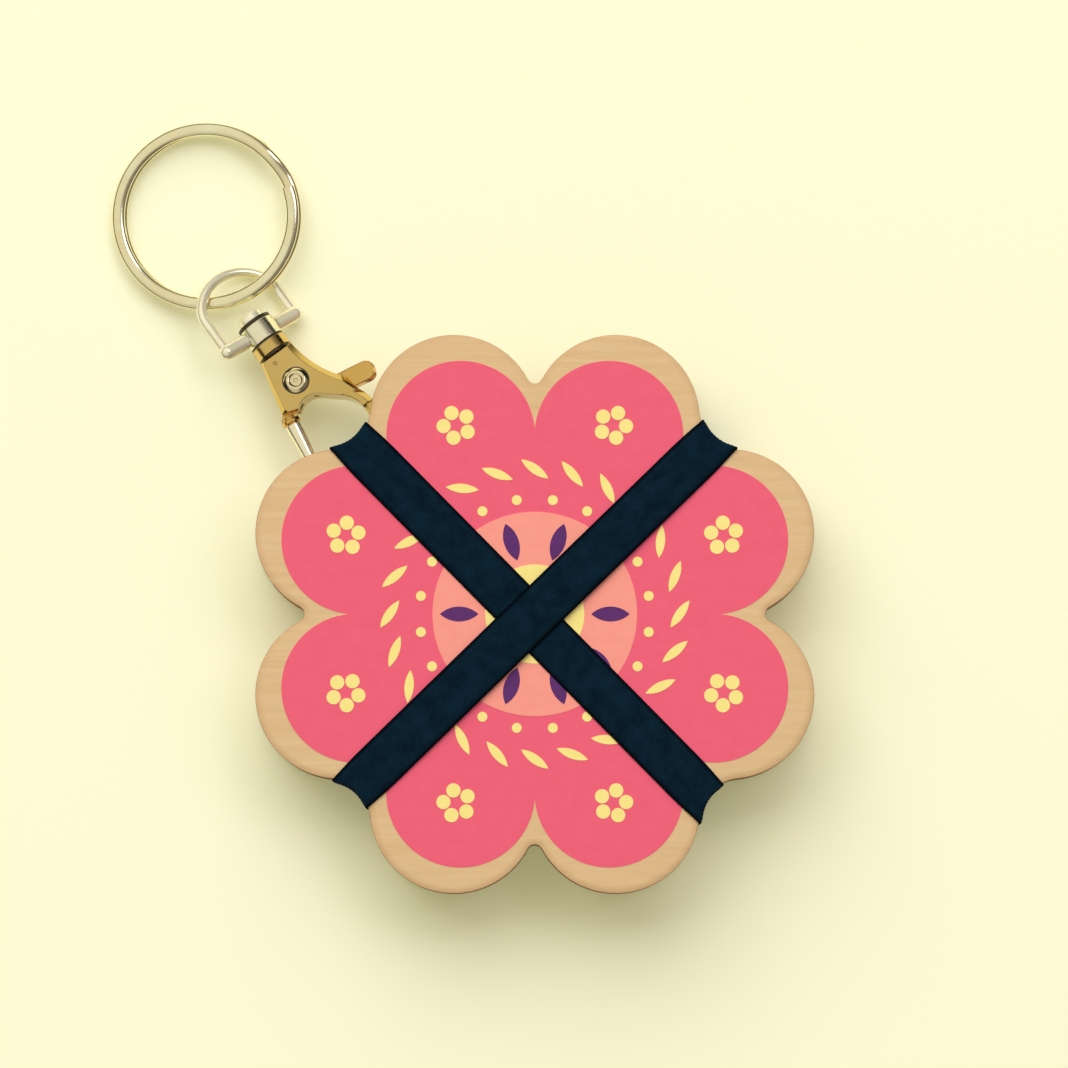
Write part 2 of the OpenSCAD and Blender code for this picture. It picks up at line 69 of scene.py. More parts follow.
# %% Sizes of the press
PETALS = 8
STEP = math.tau / PETALS
PETAL_R, PETAL_OVERLAP = 13.5, 0.43
PETAL_ORBIT = (PETAL_R - PETAL_OVERLAP) / math.sin(STEP / 2)
VALLEY_R, NOTCH_R = 7.0, 1.3
STRAP_W, STRAP_T, EDGE_GAP = 7.8, 0.6, 0.08
REACH, SIDE = PETAL_ORBIT * math.cos(STEP / 2), PETAL_ORBIT * math.sin(STEP / 2)


def fillet_orbit(radius):
    """How far out the centre lies of a hollow of that radius, between two petals."""
    return REACH + math.sqrt((PETAL_R + radius) ** 2 - SIDE**2)


def span(node):
    """Lowest and highest z of a CAD node, in millimetres."""
    low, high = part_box(node)
    return low.z / MM, high.z / MM


VALLEY_ORBIT, NOTCH_ORBIT = fillet_orbit(VALLEY_R), fillet_orbit(NOTCH_R)
BOARD_Z, LID_Z = span("bottom_board")[0], span("top_board")[0]
STRAP_Z = span("inner_strap_top")[0]
print("board at", BOARD_Z, "lid at", LID_Z, "straps at", STRAP_Z)

# %% [markdown]
# ## Camera
# The photograph looks straight down from far away, a hair from the front, so that the lower
# board's edge just shows as a dark line. A long lens does the same here. One millimetre at
# the lid's height takes up 6.2 of the picture's 1068 pixels.

# %% Camera
PICTURE, SCALE, FLOWER_AT = 1068, 6.2, (534.8, 614.0)
DISTANCE, TILT, SENSOR = 2.0, math.radians(2.0), 36


def new_object(name, data):
    """An object with that data, linked to the scene."""
    thing = bpy.data.objects.new(name, data)
    bpy.context.scene.collection.objects.link(thing)
    return thing


aim = Vector(((PICTURE / 2 - FLOWER_AT[0]) / SCALE, (FLOWER_AT[1] - PICTURE / 2) / SCALE, STRAP_Z)) * MM
camera = new_object("camera", bpy.data.cameras.new("camera"))
camera.location = aim + DISTANCE * Vector((0, -math.sin(TILT), math.cos(TILT)))
camera.rotation_euler = (TILT, 0, 0)
camera.data.sensor_width = SENSOR
camera.data.lens = SENSOR * DISTANCE / (PICTURE / SCALE * MM)
camera.data.clip_start, camera.data.clip_end = 0.01, 20
bpy.context.scene.camera = camera
bpy.context.scene.view_settings.view_transform = "Standard"
print("camera at", tuple(round(c, 3) for c in camera.location), "lens", round(camera.data.lens))

# %% [markdown]
# ## Materials from nodes
# Each finish is a small node tree round one Principled shader. A few helpers keep the trees
# readable. The first adds a node and gives its sockets, by name or number, values or other
# nodes' outputs. An output knows its tree, so only a node without one is told what is near.

# %% Node helpers
def node(kind, inputs=None, near=None, **settings):
    """Adds a node, of a shader kind unless it says Node itself, and fills its inputs."""
    inputs, output = inputs or {}, bpy.types.NodeSocket
    near = near or next(value for value in inputs.values() if isinstance(value, output))
    tree = near.id_data
    new = tree.nodes.new(kind if "Node" in kind else "ShaderNode" + kind)
    for key, value in settings.items():
        setattr(new, key, value)
    for key, value in inputs.items():
        if isinstance(value, output):
            tree.links.new(value, new.inputs[key])
        else:
            new.inputs[key].default_value = value
    return new


def link(output, shader, label="Base Color"):
    shader.id_data.links.new(output, shader.inputs[label])


def linear(colour):
    """A colour of 0 to 255 as the renderer wants it; an output stays as it is."""
    if not isinstance(colour, tuple):
        return colour
    parts = [c / 255 for c in colour]
    return (*(c / 12.92 if c <= 0.04045 else ((c + 0.055) / 1.055) ** 2.4 for c in parts), 1)


def finish(name, colour, roughness=0.6, metallic=0.0, specular=0.5, **others):
    """A new material and its shader and object coordinates."""
    material = bpy.data.materials.new(name)
    material.use_nodes = True
    shader = material.node_tree.nodes["Principled BSDF"]
    values = {"Base Color": linear(colour), "Roughness": roughness, "Metallic": metallic,
              "Specular IOR Level": specular, **others}
    for label, value in values.items():
        shader.inputs[label].default_value = value
    place = node("TexCoord", near=shader).outputs["Object"]
    return material, shader, place


# %% [markdown]
# ## Short words for common nodes
# Each of these adds one node and gives its output, so a finish reads like a formula: stretch
# the coordinates, take noise there, spread it over a range, and mix two colours by it.
# MIX_A, MIX_B and MIX_OUT are the Mix node's sockets for colours.

# %% Sums, mixes and noise
MIX_A, MIX_B, MIX_OUT = 6, 7, 2


def maths(operation, a, b=0.0):
    return node("Math", {0: a, 1: b}, operation=operation).outputs[0]


def times(a, b):
    return maths("MULTIPLY", a, b)


def vector_maths(operation, a, b=(0, 0, 0), result="Vector"):
    return node("VectorMath", {0: a, 1: b}, operation=operation).outputs[result]


def split(vector):
    """The x, y and z outputs of a vector."""
    return node("SeparateXYZ", {0: vector}).outputs


def join(x=0.0, y=0.0, z=0.0):
    return node("CombineXYZ", {0: x, 1: y, 2: z}).outputs[0]


def mix(factor, a, b):
    sockets = {0: factor, MIX_A: linear(a), MIX_B: linear(b)}
    return node("Mix", sockets, data_type="RGBA").outputs[MIX_OUT]


def noise(vector, scale, detail=4.0, roughness=0.55, distortion=0.0):
    sockets = {"Vector": vector, "Scale": scale, "Detail": detail, "Roughness": roughness,
               "Distortion": distortion}
    return node("TexNoise", sockets).outputs["Fac"]


def spread(value, low, high, new_low=0.0, new_high=1.0):
    """Maps low..high to new_low..new_high, without going outside."""
    sockets = {0: value, 1: low, 2: high, 3: new_low, 4: new_high}
    return node("MapRange", sockets).outputs[0]


def stretch(vector, scale, turn=0.0):
    sockets = {"Vector": vector, "Scale": scale, "Rotation": (0, 0, turn)}
    return node("Mapping", sockets).outputs[0]


def bump(shader, height, strength, distance):
    sockets = {"Strength": strength, "Distance": distance, "Height": height}
    link(node("Bump", sockets).outputs[0], shader, "Normal")


# %% [markdown]
# ## Plywood
# The boards are 3 mm birch plywood, cut by a laser. On the faces the grain runs in long
# faint streaks. The edge shows the plies and thin dark glue lines, all browned by the laser;
# their heights are shares of the thickness. One material serves faces and edges: it looks
# at which way the surface points.

# %% Plywood
BOARD_T, CORE_HALF, GLUE_HALF = 3.0, 0.2, 0.018
GRAIN, TOP_GRAIN_TURN, BASE_GRAIN_TURN = (60, 900, 60), 0.06, math.radians(90)


def plywood(name, base, along):
    material, shader, place = finish(name, (222, 180, 128), 0.62, specular=0.25)
    streaks = noise(stretch(place, GRAIN, along), 1.0, 5, 0.6, 0.6)
    clouds = noise(stretch(place, (25, 90, 25), along), 1.0, 2)
    pores = noise(stretch(place, (250, 5200, 250), along), 1.0, 2, 0.7)
    face = mix(spread(streaks, 0.35, 0.68), (221, 184, 132), (231, 196, 144))
    face = mix(spread(clouds, 0.35, 0.7, 0, 0.4), face, (226, 188, 136))
    face = mix(spread(pores, 0.62, 0.76, 0, 0.16), face, (190, 142, 92))
    scorch = node("Attribute", near=shader, attribute_name="rim").outputs["Fac"]
    face = mix(times(scorch, 0.35), face, (190, 140, 88))
    above_base = maths("SUBTRACT", split(place)[2], base * MM)
    height = maths("DIVIDE", above_base, BOARD_T * MM)
    from_middle = maths("ABSOLUTE", maths("SUBTRACT", height, 0.5))
    from_glue = maths("ABSOLUTE", maths("SUBTRACT", from_middle, CORE_HALF))
    glue = maths("LESS_THAN", from_glue, GLUE_HALF)
    side = mix(maths("LESS_THAN", from_middle, CORE_HALF), (150, 104, 62), (122, 80, 46))
    side = mix(times(glue, 0.75), side, (52, 32, 20))
    fibres = noise(stretch(place, (1500, 1500, 9000)), 1.0, 3)
    side = mix(spread(fibres, 0.4, 0.7, 0, 0.5), side, (88, 56, 34))
    normal = node("NewGeometry", near=shader).outputs["Normal"]
    facing = maths("ABSOLUTE", split(normal)[2])
    link(mix(spread(facing, 0.35, 0.8), side, face), shader)
    bump(shader, maths("ADD", streaks, times(pores, 0.6)), 0.25, 0.00006)
    return material


TOP_WOOD = plywood("plywood_top", LID_Z, TOP_GRAIN_TURN)
BASE_WOOD = plywood("plywood_base", BOARD_Z, BASE_GRAIN_TURN)
print("finishes:", TOP_WOOD.name, BASE_WOOD.name)

# %% [markdown]
# ## The boards' outline
# The outline is a rule: eight round petals with a hollow between each two, wide where a
# strap lies and narrow elsewhere. Moving the outline in only changes the arcs' radii, so
# each ring of the edge's soft rounding follows it exactly. Complex numbers are its points.

# %% Flower outline
PETAL_POINTS, HOLLOW_POINTS = 40, 14


def arc(centre, radius, first, last, way, count):
    """Points round a centre from one place's side to another's; the way is 1 or -1."""
    start = cmath.phase(first - centre)
    sweep = way * (way * (cmath.phase(last - centre) - start) % math.tau)
    points = [centre + cmath.rect(radius, start + sweep * k / count) for k in range(count)]
    return [(point.real, point.imag) for point in points]


def flower(inset):
    """The outline moved in by inset, in millimetres, anticlockwise."""
    points = []
    for k in range(PETALS):
        petal, next_petal = (cmath.rect(PETAL_ORBIT, STEP * (k + share)) for share in (0.5, 1.5))
        before, hollow = (cmath.rect((NOTCH_ORBIT, VALLEY_ORBIT)[j % 2], STEP * j) for j in (k, k + 1))
        hollow_r = (VALLEY_R, NOTCH_R)[k % 2] + inset
        points += arc(petal, PETAL_R - inset, before, hollow, 1, PETAL_POINTS)
        points += arc(hollow, hollow_r, petal, next_petal, -1, HOLLOW_POINTS)
    return points


print("outline of", len(flower(0)), "points")

# %% [markdown]
# ## From points to a piece
# Nearly every piece here is a row of rings of points. One function makes a mesh, with its
# faces turned outwards and sharp edges where it turns. One gives points on a circle, and one
# lists the faces between the rings.

# %% Mesh helpers
def make_mesh(name, vertices, faces, material, smooth=35):
    """A mesh object at the origin, from points in millimetres."""
    mesh = bpy.data.meshes.new(name)
    mesh.from_pydata([Vector(v) * MM for v in vertices], [], faces)
    mesh.materials.append(material)
    work = bmesh.new()
    work.from_mesh(mesh)
    bmesh.ops.recalc_face_normals(work, faces=work.faces)
    work.to_mesh(mesh)
    work.free()
    mesh.shade_smooth()
    mesh.set_sharp_from_angle(angle=math.radians(smooth))
    return new_object(name, mesh)


def towards(angle, length=1.0, z=0.0):
    """A step of that length in the direction of an angle, at height z."""
    return Vector((length * math.cos(angle), length * math.sin(angle), z))


def bridge(rings, size, closed_ends=True):
    """Faces between rings of equal size, with a face over each end."""
    faces = []
    for first in range(0, (rings - 1) * size, size):
        for j in range(size):
            k = (j + 1) % size
            faces.append((first + j, first + k, first + size + k, first + size + j))
    if closed_ends:
        faces += [tuple(range(size - 1, -1, -1)), tuple(range((rings - 1) * size, rings * size))]
    return faces


# %% [markdown]
# ## The boards
# A board is a stack of outlines, from its underside to its face. The laser softens the edge
# and scorches a narrow rim: the mesh carries how much as an attribute, which the plywood
# reads.

# %% Top and bottom boards
SOFT, SCORCHED_RIM, SCORCH = 0.18, 1.2, [0, 0.9, 1, 1, 1, 1, 0.9, 0]


def make_board(name, cad_node, material):
    low, high = span(cad_node)
    profile = [(SCORCHED_RIM, low), (SOFT, low), (SOFT * 0.3, low + SOFT * 0.3), (0, low + SOFT)]
    profile += [(inset, low + high - z) for inset, z in reversed(profile)]
    vertices, weights = [], []
    for (inset, z), weight in zip(profile, SCORCH):
        ring = [(x, y, z) for x, y in flower(inset)]
        vertices += ring
        weights += [weight] * len(ring)
    board = make_mesh(name, vertices, bridge(len(profile), len(ring)), material)
    board.data.attributes.new("rim", "FLOAT", "POINT").data.foreach_set("value", weights)
    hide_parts(cad_node)
    return board


top_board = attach(make_board("laser_cut_top_board", "top_board", TOP_WOOD), "lid")
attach(make_board("laser_cut_bottom_board", "bottom_board", BASE_WOOD), "base")
print("boards:", len(top_board.data.vertices), "vertices each")

# %% [markdown]
# ## Print
# The ink is a thin even film, as flatbed printing leaves it. It is nearly matt, a little
# mottled, and the wood's grain lifts it by a hair. One material serves each colour.

# %% Inks
def ink(name, colour, deep):
    material, shader, place = finish(name, colour, 0.55, specular=0.12)
    mottle = noise(place, 420, 3)
    grain = noise(stretch(place, GRAIN, TOP_GRAIN_TURN), 1.0, 5, 0.6, 0.6)
    tone = mix(spread(mottle, 0.35, 0.7, 0, 0.35), colour, deep)
    tone = mix(spread(grain, 0.45, 0.75, 0, 0.25), tone, deep)
    link(tone, shader)
    bump(shader, maths("ADD", mottle, grain), 0.12, 0.00004)
    return material


def repaint(material, *names):
    """Gives CAD solids that stay as they are their finish."""
    for name in names:
        NODES[name].data.materials.clear()
        NODES[name].data.materials.append(material)


INKS = {
    "print_field": ("pink_ink", (244, 102, 122), (236, 92, 114)),
    "print_disc": ("salmon_ink", (255, 160, 140), (248, 148, 128)),
    "print_leaves": ("purple_ink", (98, 52, 108), (86, 42, 96)),
    "print_blossoms": ("yellow_ink", (255, 234, 141), (250, 224, 124)),
}
for name, tones in INKS.items():
    repaint(ink(*tones), name)
print("inks:", sorted(tones[0] for tones in INKS.values()))

# %% [markdown]
# ## Elastic
# Each strap is one woven loop. Lengthwise ribs hold the rubber, a fine thread crosses them,
# and the selvedges are darker. The cloth's own map runs along the loop and across it in
# millimetres, so the weave follows every fold.

# %% Woven elastic
PICK, WALE, SELVEDGE = 0.42, 0.325, (0.75, 0.2)
SHEEN = {"Sheen Weight": 0.03, "Sheen Roughness": 0.5, "Sheen Tint": linear((90, 120, 150))}


def elastic_cloth():
    material, shader, _ = finish("navy_elastic", (6, 26, 39), 0.85, specular=0.08, **SHEEN)
    along, across, _ = split(node("UVMap", near=shader, uv_map="cloth").outputs[0])
    picks = maths("SINE", times(along, math.tau / PICK))
    wales = maths("SINE", times(across, math.tau / WALE))
    weave = times(picks, wales)
    flat_map = join(along, across)
    patches = noise(flat_map, 0.35, 3)
    fuzz = noise(flat_map, 6.0, 3)
    tone = mix(spread(patches, 0.35, 0.65), (4, 26, 38), (11, 38, 52))
    tone = mix(spread(weave, -1, 1, 0, 0.35), tone, (3, 12, 20))
    tone = mix(spread(fuzz, 0.5, 0.75, 0, 0.3), tone, (16, 40, 53))
    from_middle = maths("ABSOLUTE", across)
    selvedge = spread(from_middle, *(STRAP_W / 2 - inset for inset in SELVEDGE))
    link(mix(selvedge, tone, (1, 5, 10)), shader)
    bump(shader, maths("ADD", weave, fuzz), 0.4, 0.00005)
    return material


ELASTIC = elastic_cloth()
print("cloth:", ELASTIC.name)

# %% [markdown]
# ## The strap's route
# A strap lies flat on the lid, turns over the board's edge in a tight fold, runs down the
# round wall of a valley and comes back under the press, where its ends are sewn in a lap.
# Its lane is a diagonal, a turn away from it and a shift to one side. The fold's line isn't
# straight: it follows the valley, and is found by halving.

# %% The boards' edge in a lane
INNER_LANE, OUTER_LANE = (135, -0.4, 1.2), (45, -0.8, 0.0)
SPREAD = math.atan2(SIDE, VALLEY_ORBIT - REACH)
HALVINGS = 30


def beyond_edge(along, across):
    """How far a point lies outside the boards' outline; along a valley's middle, and across it."""
    across = abs(across)
    if across < (VALLEY_ORBIT - along) * math.tan(SPREAD):
        return VALLEY_R - math.hypot(VALLEY_ORBIT - along, across)
    return math.hypot(along - REACH, across - SIDE) - PETAL_R


def edge_x(lane, end, y, off):
    """Where the line at y in the lane leaves the boards, with the gap and off beyond them."""
    turn, y = math.radians(lane[1]), y + lane[2]
    low, high = REACH, VALLEY_ORBIT
    for _ in range(HALVINGS):
        x = end * (low + high) / 2
        along = end * (x * math.cos(turn) - y * math.sin(turn))
        across = x * math.sin(turn) + y * math.cos(turn)
        if beyond_edge(along, across) < EDGE_GAP + off:
            low = abs(x)
        else:
            high = abs(x)
    return end * (low + high) / 2


print("inner strap folds at", [round(edge_x(INNER_LANE, end, 0, 0), 2) for end in (-1, 1)])

# %% [markdown]
# ## Stations
# The route is a list of stations. At each of them, a point is named by how far across the
# band it is and how far it stands off the board. Flat runs go up and down over the other
# strap, folds are quarter turns, and side runs go straight from board to board.

# %% The route's stations
LAP_INSET, LAP = 8.5, 12
LAP_END = VALLEY_ORBIT - VALLEY_R - LAP_INSET
LAP_START = LAP_END - LAP
BAND_T, FOLD_ROUNDING, FAR = 0.5, 0.1, 60
FLAT_STEPS, FOLD_STEPS, SIDE_STEPS = 40, 7, 8


def height_at(x, knots, reach=0.8):
    """The height of a run at x: straight between its knots, with soft corners."""
    xs, zs = zip(*knots)
    return sum(np.interp(x + reach * d, xs, zs) for d in (-1, -0.5, 0, 0.5, 1)) / 5


def flat_run(start, stop, knots, up, steps):
    """Stations from start to stop, each an x or a function of y."""
    def station(share):
        def point(y, off):
            first, last = (edge(y) if callable(edge) else edge for edge in (start, stop))
            x = first + (last - first) * share
            return x, y, height_at(x, knots) + (off if up else -off)
        return point
    return [station(k / steps) for k in range(steps + 1)]


def fold(lane, end, z, up, outward):
    """Stations of a quarter turn over a board's edge; the inside of the turn isn't sharp."""
    def station(share):
        turned = (share if outward else 1 - share) * math.pi / 2

        def point(y, off):
            off = off + FOLD_ROUNDING * (1 - off / BAND_T) * math.sin(2 * turned)
            rise = off * math.cos(turned)
            return edge_x(lane, end, y, off * math.sin(turned)), y, z + (rise if up else -rise)
        return point
    return [station(k / FOLD_STEPS) for k in range(1, FOLD_STEPS)]


def side_run(lane, end, low, high):
    """Stations down or up a valley's wall."""
    def station(share):
        return lambda y, off: (edge_x(lane, end, y, off), y, low + (high - low) * share)
    return [station(k / SIDE_STEPS) for k in range(SIDE_STEPS + 1)]


def loop_route(lane, top_knots, base_knots):
    """All stations, from the sewn end under the press, over the lid and back to the lap."""
    near, far = (lambda y, e=e: edge_x(lane, e, y, 0) for e in (-1, 1))
    level = [(-FAR, BOARD_Z), (FAR, BOARD_Z)]
    return (flat_run(-LAP_START, near, level, False, FLAT_STEPS // 2)
            + fold(lane, -1, BOARD_Z, False, True) + side_run(lane, -1, BOARD_Z, STRAP_Z)
            + fold(lane, -1, STRAP_Z, True, False) + flat_run(near, far, top_knots, True, FLAT_STEPS)
            + fold(lane, 1, STRAP_Z, True, True) + side_run(lane, 1, STRAP_Z, BOARD_Z)
            + fold(lane, 1, BOARD_Z, False, False)
            + flat_run(far, -LAP_END, base_knots, False, FLAT_STEPS))


# %% [markdown]
# ## The band itself
# The cross-section is a flat band with round edges, a little thinner towards them, and with
# twelve ribs on its outer face. It is carried from station to station like a loom feeding
# cloth, and closed at both cut ends. Its pull draws it in a little at the boards' edge.

# %% Weave a strap
RIBS, RIB_H, RIB_POINTS, PLAIN_POINTS = 12, 0.025, 6, 12
EDGE_R, THIN_FROM, THIN_BY, INNER_FACE = 0.2, 1.4, 0.24, 0.02
DRAWN_IN, DRAWN_FROM, DRAWN_WITHIN = 0.07, 34, 6


def section():
    """(across, off) round the band: the ribbed outer face, then the plain inner one."""
    def eased(y):
        over = max(0.0, abs(y) - (STRAP_W / 2 - EDGE_R))
        return EDGE_R - math.sqrt(max(0.0, EDGE_R**2 - over**2))

    def thinned(y):
        return THIN_BY * max(0.0, (abs(y) - STRAP_W / 2) / THIN_FROM + 1) ** 2
    outer, inner, ring = RIBS * RIB_POINTS, PLAIN_POINTS, []
    for k in range(outer + 1):
        y = STRAP_W * (k / outer - 0.5)
        rib = RIB_H * math.cos(math.tau * RIBS * (k / outer)) * (1 if 0 < k < outer else 0)
        ring.append((y, BAND_T - thinned(y) - eased(y) - rib))
    for k in range(inner + 1):
        y = STRAP_W * (0.5 - k / inner)
        ring.append((y, INNER_FACE + eased(y) * 0.7))
    return ring


def in_lane(lane, x, y, z):
    """A point of a lane, with x along the strap and y across it, in the whole press."""
    turn, y = math.radians(lane[0] + lane[1]), y + lane[2]
    return x * math.cos(turn) - y * math.sin(turn), x * math.sin(turn) + y * math.cos(turn), z


def weave_strap(name, lane, route, cad_nodes):
    ring, vertices, cloth, run, last = section(), [], [], 0.0, None
    for point in route:
        x, _, z = point(0, BAND_T)
        run += math.dist((x, z), last) if last else 0
        last = (x, z)
        tuck = 1 - DRAWN_IN * min(1, max(0, (abs(x) - DRAWN_FROM) / DRAWN_WITHIN)) ** 2
        for across, off in ring:
            vertices.append(in_lane(lane, *point(across * tuck, off)))
            cloth.append((run, across))
    strap = make_mesh(name, vertices, bridge(len(route), len(ring)), ELASTIC, 60)
    uv = strap.data.uv_layers.new(name="cloth")
    corners = np.zeros(len(strap.data.loops), int)
    strap.data.loops.foreach_get("vertex_index", corners)
    uv.data.foreach_set("uv", np.array(cloth)[corners].ravel())
    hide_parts(*cad_nodes)
    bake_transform(strap)
    print(name, "runs", round(run, 1), "mm,", len(vertices), "vertices")


# %% [markdown]
# ## The two straps
# The inner strap lies flat on the lid. The outer one climbs over it there and passes under
# it below, and each one's end lies on its own lap. Knots give the heights along a run.

# %% Inner and outer strap
CROSSING, LAP_RAMP = STRAP_W / 2 + 0.2, (0.6, 2.6)
RAMP = VALLEY_ORBIT - VALLEY_R - 1.5
near_side, far_side = CROSSING - INNER_LANE[2], CROSSING + INNER_LANE[2]
over_inner = [(-FAR, STRAP_Z), (-RAMP, STRAP_Z), (-far_side, STRAP_Z + STRAP_T),
              (near_side, STRAP_Z + STRAP_T), (RAMP, STRAP_Z), (FAR, STRAP_Z)]
under_inner = [(-FAR, STRAP_T), (near_side, STRAP_T), (RAMP, BOARD_Z), (FAR, BOARD_Z)]
ramp_from, ramp_to = (reach - LAP_START for reach in LAP_RAMP)
inner_base = [(-FAR, STRAP_T), (ramp_from, STRAP_T), (ramp_to, BOARD_Z), (FAR, BOARD_Z)]
weave_strap("inner_elastic_strap", INNER_LANE,
            loop_route(INNER_LANE, [(-FAR, STRAP_Z), (FAR, STRAP_Z)], inner_base),
            ["inner_strap_top", "inner_strap_base", "inner_strap_clasp_side", "inner_strap_far_side"])
weave_strap("outer_elastic_strap", OUTER_LANE, loop_route(OUTER_LANE, over_inner, under_inner),
            ["outer_strap_top", "outer_strap_base", "outer_strap_upper_side", "outer_strap_lower_side"])

# %% [markdown]
# ## Growing things with Geometry Nodes
# Stitches and flutes repeat, so a node tree with named sizes grows each of them. The
# modifier that runs it is only a mould: its result becomes a plain mesh, and the mould is
# thrown away.

# %% Geometry Nodes helpers
SOCKETS = {float: "NodeSocketFloat", int: "NodeSocketInt"}


def new_tree(name, **sizes):
    """A tree with a named input for each size, and the node that gives them."""
    tree = bpy.data.node_groups.new(name, "GeometryNodeTree")
    tree.interface.new_socket("Geometry", in_out="OUTPUT", socket_type="NodeSocketGeometry")
    tree.interface.new_socket("Geometry", in_out="INPUT", socket_type="NodeSocketGeometry")
    for label, value in sizes.items():
        socket = tree.interface.new_socket(label, in_out="INPUT", socket_type=SOCKETS[type(value)])
        socket.default_value = value
    return tree, tree.nodes.new("NodeGroupInput").outputs


def joined(*parts):
    """One geometry from several."""
    whole = node("GeometryNodeJoinGeometry", near=parts[0])
    for part in parts:
        whole.id_data.links.new(part, whole.inputs[0])
    return whole.outputs[0]


def end_tree(geometry, material):
    """Turns what was grown into real geometry with its material."""
    real = node("GeometryNodeRealizeInstances", {0: geometry}).outputs[0]
    painted = node("GeometryNodeSetMaterial", {0: real, "Material": material}).outputs[0]
    node("NodeGroupOutput", {0: painted})


def grow(name, tree, mesh=None, **sizes):
    """Runs the tree on a mesh and keeps the result as a plain object."""
    mould = new_object(name + "_mould", mesh or bpy.data.meshes.new("seed"))
    modifier = mould.modifiers.new("grow", "NODES")
    modifier.node_group = tree
    for item in tree.interface.items_tree:
        if item.in_out == "INPUT" and item.name in sizes:
            modifier[item.identifier] = sizes[item.name]
    evaluated = mould.evaluated_get(bpy.context.evaluated_depsgraph_get())
    grown = new_object(name, bpy.data.meshes.new_from_object(evaluated))
    bpy.data.objects.remove(mould)
    print(name, len(grown.data.polygons), "faces")
    return grown


# %% [markdown]
# ## Corrugated cards
# A card is two thin kraft liners with a wavy sheet glued between them. Only the cut edge
# shows it, as a row of little arches. The paper is brown kraft with long fibres and a few
# dark flecks.

# %% Kraft paper
def kraft():
    material, shader, place = finish("kraft_card", (176, 134, 90), 0.9, specular=0.15)
    fibre = noise(stretch(place, (700, 2600, 2600)), 1.0, 4, 0.65)
    fleck = noise(place, 2300, 2)
    tone = mix(spread(fibre, 0.35, 0.68), (160, 119, 77), (192, 150, 104))
    tone = mix(spread(fleck, 0.62, 0.72, 0, 0.5), tone, (120, 84, 50))
    link(tone, shader)
    bump(shader, fibre, 0.35, 0.00008)
    return material


KRAFT = kraft()
print("paper:", KRAFT.name)

# %% [markdown]
# ## Sheets in a node tree
# A liner is a disc with a thickness. The wavy sheet starts as a grid of almost two units,
# whose points are lifted by a sine and drawn in to the card's round outline. The tree joins
# the three, and grows each card from its own height and thickness.

# %% Card tree
CARD_R, CARD_T, LINER_T, FLUTE_T, FLUTE_PITCH = 34, 1.6, 0.28, 0.18, 3.2
DISC_SIDES, WAVE_COLUMNS, WAVE_WIDTH, WELD = 160, 260, 1.98, 1e-7


def solid_sheet(flat, thickness):
    """Gives a flat mesh a thickness upwards and closes it underneath."""
    sockets = {"Mesh": flat, "Offset": join(z=thickness), "Offset Scale": 1.0, "Individual": False}
    raised = node("GeometryNodeExtrudeMesh", sockets).outputs[0]
    under = node("GeometryNodeFlipFaces", {0: flat}).outputs[0]
    sockets = {0: joined(raised, under), "Distance": WELD}
    return node("GeometryNodeMergeByDistance", sockets).outputs[0]


def move(geometry, **sockets):
    """Moves points by an Offset or to a Position."""
    return node("GeometryNodeSetPosition", {0: geometry, **sockets}).outputs[0]


def card_tree():
    sizes = {"Radius": CARD_R * MM, "Bottom": 0.0, "Thickness": CARD_T * MM, "Liner": LINER_T * MM,
             "Paper": FLUTE_T * MM, "Pitch": FLUTE_PITCH * MM, "Columns": WAVE_COLUMNS}
    tree, given = new_tree("corrugated_card", **sizes)
    radius, bottom, thickness, liner, paper, pitch, columns = (given[label] for label in sizes)
    sockets = {"Vertices": DISC_SIDES, "Radius": radius}
    disc = node("GeometryNodeMeshCircle", sockets, fill_type="NGON").outputs[0]
    lower = move(solid_sheet(disc, liner), Offset=join(z=bottom))
    top_at = maths("SUBTRACT", maths("ADD", bottom, thickness), liner)
    upper = move(solid_sheet(disc, liner), Offset=join(z=top_at))
    sockets = {"Size X": WAVE_WIDTH, "Size Y": 2.0, "Vertices X": columns, "Vertices Y": 2}
    grid = node("GeometryNodeMeshGrid", sockets).outputs[0]
    at = split(node("GeometryNodeInputPosition", near=tree).outputs[0])
    half = maths("SQRT", maths("SUBTRACT", 1.0, times(at[0], at[0])))
    x = times(at[0], radius)
    y = times(times(at[1], half), radius)
    wave = maths("SINE", maths("DIVIDE", times(x, math.tau), pitch))
    liners = times(liner, 2.0)
    inside = maths("SUBTRACT", maths("SUBTRACT", thickness, liners), paper)
    middle = maths("ADD", maths("ADD", bottom, liner), times(inside, 0.5))
    z = maths("ADD", middle, times(times(wave, inside), 0.5))
    flutes = solid_sheet(move(grid, Position=join(x, y, z)), paper)
    end_tree(joined(lower, upper, flutes), KRAFT)
    return tree


CARD_TREE = card_tree()
CARD_BODIES = ("base", "lower_leaf", "upper_leaf", "lid")
for number, body in enumerate(CARD_BODIES, 1):
    low, high = span(f"card_{number}")
    card = grow(f"corrugated_card_{number}", CARD_TREE, Bottom=low * MM, Thickness=(high - low) * MM)
    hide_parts(f"card_{number}")
    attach(card, body)

# %% [markdown]
# ## Blotters
# A blotter is thick soft paper, slightly cream, with cut edges that have furred a little.
# Its plain round solid is right as it is, so it only gets a finish.

# %% Blotting paper
def blotting_paper():
    material, shader, place = finish("blotting_paper", (240, 236, 222), 0.95, specular=0.1)
    fibre = noise(place, 900, 6, 0.7)
    tone = mix(spread(fibre, 0.35, 0.7), (232, 226, 208), (246, 243, 232))
    link(tone, shader)
    bump(shader, fibre, 0.5, 0.0001)
    return material


BLOTTERS = [f"blotter_{k}" for k in range(1, 7)]
repaint(blotting_paper(), *BLOTTERS)
print("blotters:", len(BLOTTERS))

